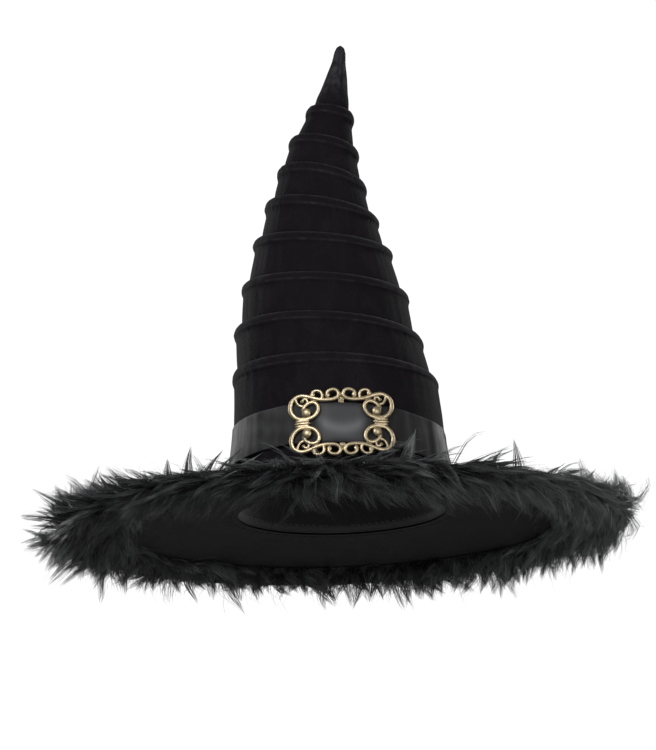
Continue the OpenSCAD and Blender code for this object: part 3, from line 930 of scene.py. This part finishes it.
# Locks that stand out from the rest: degrees from the front towards +X, how far they lean round
# the brim and back towards the crown, their length, which way their ends bend, and their tone.
STANDING_LOCKS = [
    (-30, -0.6, 0.2, 28, -0.8, 1.4), (-22, 0.4, 0.2, 26, 0.6, 1.4),
    (-16, 1.2, 0.1, 22, 0.9, 1.6), (-10, 1.9, 0.0, 22, 0.8, 1.6),
    (-1, 1.8, 0.0, 22, -0.6, 1.5), (5, 1.0, 0.1, 20, 0.4, 1.6),
    (11, 0.25, 0.3, 38, 0.15, 1.7), (15, 1.5, 0.1, 26, -0.6, 1.6),
    (24, 0.8, 0.2, 26, 0.6, 1.5), (-46, -1.1, -0.1, 40, -0.5, 0.0),
    (-43, -1.0, 0.0, 36, -0.5, 0.0), (-38, -0.2, 0.1, 24, 0.2, 0.0),
    (-33, -0.4, 0.1, 32, 0.5, 0.2), (-29, 0.1, 0.1, 28, 0.5, 0.4),
    (-26, 0.3, 0.1, 30, 0.5, 0.4), (-54, -0.7, -0.2, 28, 0.4, 0.0),
    (-62, -1.0, -0.2, 33, -0.3, 0.0), (-68, -0.6, -0.6, 30, -0.2, 0.0),
    (-76, -0.4, -0.8, 32, 0.2, 0.3), (-84, -0.2, -1.2, 30, 0.0, 0.3),
    (29, 0.3, 0.1, 24, 0.4, 0.8), (36, 0.1, 0.1, 31, -0.2, 0.5),
    (44, 0.8, 0.0, 26, 0.5, 0.6), (57, 0.6, 0.0, 30, 0.4, 0.6),
    (64, 0.7, -0.1, 27, 0.4, 0.6), (72, 0.5, -0.4, 26, 0.3, 0.6),
    (120, 0.6, -0.6, 30, 0.5, 0.3), (150, -0.6, -0.5, 30, 0.4, 0.3),
    (175, 0.5, -0.6, 32, 0.4, 0.3), (-150, 0.7, -0.5, 30, 0.3, 0.3),
    (-125, -0.5, -0.7, 32, 0.3, 0.3), (-105, 0.4, -0.8, 30, -0.4, 0.3),
]


def away_from_front(angle):
    """Angle from the front towards +X, between -pi and pi."""
    return wrapped(angle + np.pi / 2)


def brim_under(r):
    """Height of the brim's middle under the fur, level outside the brim."""
    return brim_z(np.minimum(r, BRIM_R))


def fur_roots(rng, count):
    """Places on the binding: angle, radius, height, and which way it faces, up or down."""
    angle = rng.uniform(0, 2 * np.pi, count)
    kind = rng.uniform(0, 1, count)
    lean = rng.uniform(-1, 1, count)
    on_top, below = kind < 0.38, kind > 0.60
    r = np.sqrt(rng.uniform(FUR_INNER_R**2, EDGE_R**2, count))
    r = np.where(on_top | below, r, EDGE_R)
    up = np.where(on_top, 1.0, np.where(below, -1.0, lean))
    return angle, r, brim_under(r) + up * BACKING_OUT, up


def fur_field(rng, angle, r, up):
    """How a tuft grows: its first direction, where it is swept to, and its length.

    Directions are given as outward, round towards +angle, and upward parts.
    """
    n = len(angle)
    from_front = away_from_front(angle)
    degrees, *columns = np.array(FUR_TABLE, float).T
    rise, reach, edge_rise, fall, length = (
        np.interp(np.degrees(from_front), degrees, column) for column in columns
    )
    front = bell(from_front, 0.85)
    wander = ripples(angle, 0, (5, 9, 14, 23), 101)
    drift = ripples(angle, 0, (7, 12, 19, 31), 103)
    spread = rng.normal(0, 1, (3, n))
    top, below = up > 0.99, up < -0.99
    edge = ~(top | below)
    inner = smooth_step(-r, -228, -FUR_INNER_R)
    steep = np.where(below, -np.clip(fall, 0.25, 1), 0.5 * up)
    steep = np.where(top, np.clip(rise, 0.04, 1), steep)
    ends = bell(np.abs(from_front) - np.pi / 2, 0.5)
    first = np.stack([
        0.35 + (0.8 - 0.5 * ends * (from_front > 0)) * edge + 0.25 * spread[0] - 0.9 * inner,
        0.35 * spread[1] + 0.4 * wander,
        steep + 0.15 * spread[2] * (1 - 0.65 * front * top),
    ], -1)
    sway = np.tanh((from_front - FUR_PARTING) / 0.12) * (1 - smooth_step(from_front, 2.6, 3.1))
    sway = np.clip(sway + 0.40 * drift, -1.4, 1.4)
    out = reach + 0.35 * edge + 0.22 * spread[1] - 0.75 * inner
    turn = sway * (0.60 + 1.45 * front) + 0.50 * spread[2] + 0.35 * wander
    up_part = np.where(top, rise, np.where(below, -fall, edge_rise + 0.45 * up))
    calm = 1 - 0.65 * front * top
    swept = np.stack([out, turn, up_part + calm * (0.22 * spread[0] + 0.18 * drift)], -1)
    length = length * rng.lognormal(0, 0.22, n) * (1 - 0.15 * below * (1 - front))
    length = length * (1 - 0.28 * top * front)
    return first, swept, np.clip(length, 16, 58)


def local_to_world(parts, angle):
    """Outward, round and upward parts as a direction."""
    c, s = np.cos(angle), np.sin(angle)
    out, turn, up = parts[..., 0], parts[..., 1], parts[..., 2]
    return np.stack([out * c - turn * s, out * s + turn * c, up], -1)


def grow(root, angle, first, swept, length, curl, droop):
    """Points along each hair, which starts out towards first and bends round to swept."""
    heading, sweep = unit(local_to_world(first, angle)), unit(local_to_world(swept, angle))
    line = [root]
    for i in range(HAIR_STEPS):
        share = (i + 0.7) / HAIR_STEPS
        heading = unit(heading * (1 - 0.55 * share) + sweep * (0.35 + 0.75 * share)
                       + curl * math.sin(2.6 * share + 0.4) + droop * [0, 0, -share])
        line.append(line[-1] + heading * (length / HAIR_STEPS)[:, None])
    return np.stack(line, 1)


def keep_off_brim(line, up, lift):
    """Moves points that would lie in the brim out to the face that their hair grows on.

    Each next point of a hair clears the brim by lift more. Hair that would reach too far out or
    down is brought back.
    """
    r = np.hypot(line[..., 0], line[..., 1])
    middle = brim_under(r)
    side = np.where(up >= 0, 1.0, -1.0)[:, None]
    step = np.arange(line.shape[1])[None, :]
    clear = BACKING_OUT + 0.3 + step * lift[:, None]
    on_brim = r < EDGE_R - 1
    gap = (line[..., 2] - middle) * side
    pushed = middle + side * np.maximum(gap, clear)
    line[..., 2] = np.where(on_brim & (step > 0), pushed, line[..., 2])
    line[..., :2] /= np.maximum(r / FUR_LIMIT_R, 1)[..., None]
    under = np.minimum(line[..., 2] - FUR_LIMIT_LOW, 0)
    line[..., 2] = np.maximum(line[..., 2] - 0.65 * under, FUR_FLOOR)
    return line


def press_front(line, angle):
    """Combs the hair on the front of the brim flatter, where it hangs over the brow."""
    r = np.hypot(line[..., 0], line[..., 1])
    bed = brim_under(r) + BACKING_OUT + 0.4
    share = FRONT_PRESS * bell(away_from_front(angle) - 0.1, 0.8)
    line[..., 2] -= share[:, None] * np.maximum(line[..., 2] - bed, 0)
    return line


def grow_wisps(rng):
    """Long pale locks that curl over the rest, most of them along the front of the brim."""
    angle = np.concatenate([rng.normal(-np.pi / 2, 0.5, WISPS), rng.uniform(0, 2 * np.pi, WISPS)])
    count = len(angle)
    r = np.full(count, EDGE_R)
    z = brim_z(BRIM_R) + rng.uniform(0.2, 1, count) * BACKING_OUT
    up = np.full(count, 0.4)
    side = np.where(away_from_front(angle) > 0, 1.0, -1.0)
    first = np.stack([rng.uniform(0.3, 0.8, count), side * rng.uniform(0, 1, count),
                      rng.uniform(0.3, 1.0, count)], -1)
    swept = np.stack([rng.uniform(-0.3, 0.3, count), side * rng.uniform(0.6, 1.6, count),
                      rng.uniform(-0.9, 0.5, count)], -1)
    return grow_locks(rng, angle, r, z, up, first, swept, rng.uniform(30, 48, count),
                      rng.normal(0, 0.3, (count, 3)), HAIRS_PER_WISP, WISP_SPREAD,
                      rng.normal(1.5, 0.4, count))


def grow_standing_locks(rng):
    """The few locks that stand up from the edge, some of them in front of the ribbon."""
    degrees, lean, back, length, bend, tone = np.array(STANDING_LOCKS, float).T
    count = len(degrees)
    angle = np.radians(degrees) - np.pi / 2
    r = np.full(count, EDGE_R - 6)
    z = brim_z(EDGE_R - 6) + BACKING_OUT + np.zeros(count)
    first = np.stack([-back, lean, np.full(count, 1.0)], -1)
    swept = np.stack([-back, lean + bend, 1.0 - np.abs(bend)], -1)
    curl = np.zeros((count, 3))
    return grow_locks(rng, angle, r, z, np.ones(count), first, swept, length, curl,
                      HAIRS_PER_LOCK, LOCK_SPREAD, tone)


def grow_locks(rng, angle, r, z, up, first, swept, length, curl, hairs, spread, tone):
    """Locks whose hairs start apart and come together towards their tips."""
    owner = np.repeat(np.arange(len(angle)), hairs)
    n = len(owner)
    shift = rng.normal(0, spread, n)
    hair_angle = angle[owner] + shift / r[owner]
    root = round_points(r[owner], z[owner], hair_angle)
    inward = -shift / length[owner]
    gather = np.stack([0 * inward, inward, 0 * inward], -1)
    line = grow(root, angle[owner], unit(first)[owner] + gather, unit(swept)[owner] + gather,
                length[owner] * rng.uniform(0.88, 1.03, n), curl[owner], np.zeros((n, 1)))
    line = keep_off_brim(line, up[owner], rng.uniform(0.8, 1.6, n))
    return line, np.mod(angle[owner], 2 * np.pi), tone[owner] + rng.normal(0, 0.45, n)


def grow_tufts(rng):
    """Tufts whose hairs keep near the tuft's middle: points, angles, and each hair's tuft."""
    angle, r, z, up = fur_roots(rng, TUFTS)
    first, swept, length = fur_field(rng, angle, r, up)
    curl = rng.normal(0, 0.26, (TUFTS, 3))
    droop = rng.uniform(0.05, 0.3, (TUFTS, 1))
    guide = grow(round_points(r, z, angle), angle, first, swept, length, curl, droop)

    owner = np.repeat(np.arange(TUFTS), HAIRS_PER_TUFT)
    n = len(owner)
    hair_angle = angle[owner] + rng.normal(0, TUFT_SPREAD, n) / r[owner]
    hair_r = r[owner] + rng.normal(0, TUFT_SPREAD, n) * (np.abs(up[owner]) > 0.99)
    hair_r = np.clip(hair_r, FUR_INNER_R - 4, EDGE_R)
    hair_z = brim_under(hair_r) + (z - brim_under(r))[owner]
    hair_first = first[owner] + rng.normal(0, 0.28, (n, 3))
    hair_swept = swept[owner] + rng.normal(0, 0.14, (n, 3))
    hair_length = length[owner] * rng.uniform(0.72, 1.04, n)
    own = grow(round_points(hair_r, hair_z, hair_angle), hair_angle, hair_first, hair_swept,
               hair_length, curl[owner], droop[owner])

    # Each hair is pulled towards its tuft's middle, and most of all at its tip.
    share = np.linspace(0, 1, HAIR_STEPS + 1)[None, :, None]
    pull = rng.uniform(0.78, 0.97, TUFTS)[owner][:, None, None] * share**0.9
    middle = guide[owner]
    fit = (hair_length / length[owner])[:, None, None]
    target = middle[:, :1] + (middle - middle[:, :1]) * fit
    line = own * (1 - pull) + target * pull
    line = keep_off_brim(line, up[owner], rng.uniform(0.1, 0.8, n))
    return press_front(line, angle[owner]), angle[owner], owner


def grow_strays(rng):
    """Loose hairs that go their own way: points and angles."""
    angle, r, z, up = fur_roots(rng, STRAY_HAIRS)
    first, swept, length = fur_field(rng, angle, r, up)
    swept = swept + rng.normal(0, 0.55, swept.shape)
    length = length * rng.uniform(0.8, 1.15, STRAY_HAIRS)
    curl = rng.normal(0, 0.35, (STRAY_HAIRS, 3))
    droop = rng.uniform(0, 0.3, (STRAY_HAIRS, 1))
    line = grow(round_points(r, z, angle), angle, first, swept, length, curl, droop)
    line = keep_off_brim(line, up, rng.uniform(0.3, 2.0, STRAY_HAIRS))
    return press_front(line, angle), angle


def grow_fur():
    """Every hair's five points, angle, thickness and shades."""
    rng = np.random.default_rng(FUR_SEED)
    line, tuft_angle, owner = grow_tufts(rng)
    stray, stray_angle = grow_strays(rng)
    wisp, wisp_angle, wisp_tone = (
        np.concatenate(pair) for pair in zip(grow_wisps(rng), grow_standing_locks(rng))
    )
    n = len(owner)
    lines = np.concatenate([line, stray, wisp])
    angles = np.concatenate([tuft_angle, stray_angle, wisp_angle])
    right, left = np.clip(np.cos(angles), 0, 1), np.clip(-np.cos(angles), 0, 1)
    thick = np.concatenate([rng.uniform(0.17, 0.27, n), rng.uniform(0.12, 0.18, STRAY_HAIRS),
                            rng.uniform(0.15, 0.22, len(wisp))])
    thick = thick * (1 - 0.15 * right)

    # A higher tone is a paler tip, and the hair gets darker in steps towards its root.
    tone = np.concatenate([rng.normal(0, 0.55, TUFTS)[owner] + rng.normal(0, 0.65, n),
                           rng.normal(0.7, 0.9, STRAY_HAIRS), wisp_tone])
    # Painted light: hair on the right side is made much paler, and on the left a little paler, as
    # if lit from those sides. On the right the root shades are raised a step too.
    tone = tone + 1.30 * right + 0.22 * left
    tip = np.clip(np.round(1.35 + tone), 0, 4)
    painted_light_right = np.round(right)
    shade = np.stack([np.clip(tip - 2 + painted_light_right, 0, 4), np.clip(tip - 1 + painted_light_right, 0, tip), tip, tip], -1)
    shade = np.minimum(shade, tip[:, None]).astype(int)
    return lines, angles, thick, shade


def strands(line, half):
    """Points, walls and ends of thin strands: each ends in a point, and is closed at its root."""
    sides, rings = STRAND_SIDES, HAIR_STEPS
    ahead = unit(np.gradient(line, axis=1))[:, :rings, None]
    aside = unit(np.cross(ahead, [0.3, 0.2, 1.0]))
    corner = around(sides)[..., None]
    spokes = aside * np.cos(corner) + np.cross(aside, ahead) * np.sin(corner)
    walls = line[:, :rings, None] + spokes * half[..., None, None]
    points = np.concatenate([walls.reshape(len(line), -1, 3), line[:, rings:]], 1)
    base = (np.arange(len(line)) * (rings * sides + 1))[:, None, None]
    last = (rings - 1) * sides
    tip_tris = [[last + c, last + (c + 1) % sides, rings * sides] for c in range(sides)]
    return points, base + grid_quads(rings, sides), base + np.array([*tip_tris, [2, 1, 0]])


def make_fur():
    """The pile, as tapered strands, in one piece for each sector of the brim."""
    lines, angles, thick, shade = grow_fur()
    sector = (np.mod(angles, 2 * np.pi) / (2 * np.pi) * FUR_SECTORS).astype(int)
    for k in range(FUR_SECTORS):
        mine = sector == k
        points, quads, tris = strands(lines[mine], thick[mine][:, None] * STRAND_TAPER)
        walls = np.repeat(shade[mine, :3], STRAND_SIDES, axis=1)
        ends = np.hstack([np.repeat(shade[mine, 3:], STRAND_SIDES, axis=1), shade[mine, :1]])
        slots = np.append(walls, ends)
        obj = make_object(f"fur_sector_{k + 1:02d}", points.reshape(-1, 3), quads, tris,
                          fur_shades, slots)
        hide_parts("fur_pile")
        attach(obj, "hat")


# ---- the CAD's own pieces ----

NODE_MATERIALS = {
    "crown_interlining": foam,
    "tip_interlining": foam,
    "brim_core": felt,
    "brim_edge_wire": steel,
    "fur_backing": knit,
    "buckle_bar": brass,
    **{f"tuck_cord_{i}": cotton for i in range(1, 9)},
}


def dress_nodes():
    """Gives each CAD node that stays its material."""
    for name, m in NODE_MATERIALS.items():
        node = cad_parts[name]
        if not node.material_slots:
            node.data.materials.append(m)
        for s in node.material_slots:
            s.material = m


# ---- studio ----

CAMERA_AT = (-0.0925, -3.0, -0.583)
CAMERA_YAW, CAMERA_PITCH, CAMERA_ROLL = (math.radians(a) for a in (1.61, 14.08, -2.06))
CAMERA_LENS = 178.3
FLOOR_Z, FLOOR_HALF = -1.6, 25.0


def put(data, at, axes):
    """Adds a camera or a light, turned so that its own axes point along the given three."""
    obj = bpy.data.objects.new(data.name, data)
    bpy.context.scene.collection.objects.link(obj)
    obj.location = at
    obj.rotation_mode = "QUATERNION"
    obj.rotation_quaternion = Matrix(np.stack(axes, 1).tolist()).to_quaternion()
    return obj


def make_camera():
    """The camera, below the brim and looking up."""
    data = bpy.data.cameras.new("camera")
    data.lens = CAMERA_LENS
    data.sensor_width = 36
    data.sensor_fit = "HORIZONTAL"
    data.clip_end = 50
    flat = math.cos(CAMERA_PITCH)
    ahead = np.array([
        math.sin(CAMERA_YAW) * flat, math.cos(CAMERA_YAW) * flat, math.sin(CAMERA_PITCH)
    ])
    level = unit(np.cross(ahead, [0, 0, 1]))
    upright = np.cross(level, ahead)
    c, s = math.cos(CAMERA_ROLL), math.sin(CAMERA_ROLL)
    axes = (level * c + upright * s, upright * c - level * s, -ahead)
    bpy.context.scene.camera = put(data, CAMERA_AT, axes)


def add_softbox(name, at, aim, size, power):
    """A round area light that faces a point."""
    data = bpy.data.lights.new(name, "AREA")
    data.shape = "DISK"
    data.size = size
    data.energy = power
    back = unit(np.array(at) - np.array(aim))
    level = unit(np.cross([0, 0, 1], back))
    put(data, at, (level, np.cross(back, level), back))


def make_studio():
    """A surround that shows as pure white and lights the hat softly, softboxes, and a floor."""
    scene = bpy.context.scene
    scene.view_settings.view_transform = "Standard"
    world = bpy.data.worlds.new("studio")
    scene.world = world
    world.use_nodes = True
    surround = world.node_tree.nodes["Background"]
    surround.inputs["Color"].default_value = (1, 1, 1, 1)
    seen = add_node(world, "ShaderNodeLightPath").outputs["Is Camera Ray"]
    strength = span(world, seen, 0, 1, 0.15, 1.05)
    world.node_tree.links.new(strength, surround.inputs["Strength"])

    aim = (0, 0, 0.18)
    add_softbox("key", (-1.4, -2.3, 1.3), aim, 1.3, 62)
    add_softbox("fill", (1.7, -2.2, 0.2), aim, 1.6, 27)
    add_softbox("low_fill", (0.4, -2.6, -0.7), (0, 0, 0.05), 1.2, 10)
    add_softbox("rim_left", (-1.6, 1.6, 0.9), aim, 1.0, 27)
    add_softbox("rim_right", (1.7, 1.5, 0.8), aim, 1.0, 24)

    corners = np.array([[-1, -1], [1, -1], [1, 1], [-1, 1]], float) * FLOOR_HALF
    points = np.column_stack([corners, np.full(4, FLOOR_Z)]) / MM
    make_object("floor", points, [[0, 1, 2, 3]], materials=[paper_material()])


def paper_material():
    """Pale paper that looks evenly lit from above, and lets the hat be seen from below."""
    m = new_material("floor_paper", (0.86, 0.86, 0.85), 0.9)
    tint = blend_colours(m, noise(m, 3, 2), (0.84, 0.84, 0.83), (0.88, 0.88, 0.87))
    plug(m, tint, "Base Color")
    plug(m, tint, "Emission Color")
    seen = add_node(m, "ShaderNodeLightPath").outputs["Is Camera Ray"]
    plug(m, span(m, seen, 0, 1, 0.0, 0.92), "Emission Strength")
    under = add_node(m, "ShaderNodeNewGeometry").outputs["Backfacing"]
    clear = add_node(m, "ShaderNodeBsdfTransparent").outputs[0]
    top = m.node_tree.nodes["Principled BSDF"].outputs[0]
    both = add_node(m, "ShaderNodeMixShader", {0: under, 1: top, 2: clear}).outputs[0]
    m.node_tree.links.new(both, m.node_tree.nodes["Material Output"].inputs["Surface"])
    return m


# ---- the hat ----

make_camera()
make_crown()
make_lining()
make_sweatband()
make_sweatband_stitches()
make_facing("brim_top_facing", "brim_top_velvet", 1, 0)
make_facing("brim_under_facing", "brim_under_velvet", -1, 6.4)
make_ribbon()
make_lap_stitches()
make_buckle()
make_fur()
dress_nodes()
make_studio()
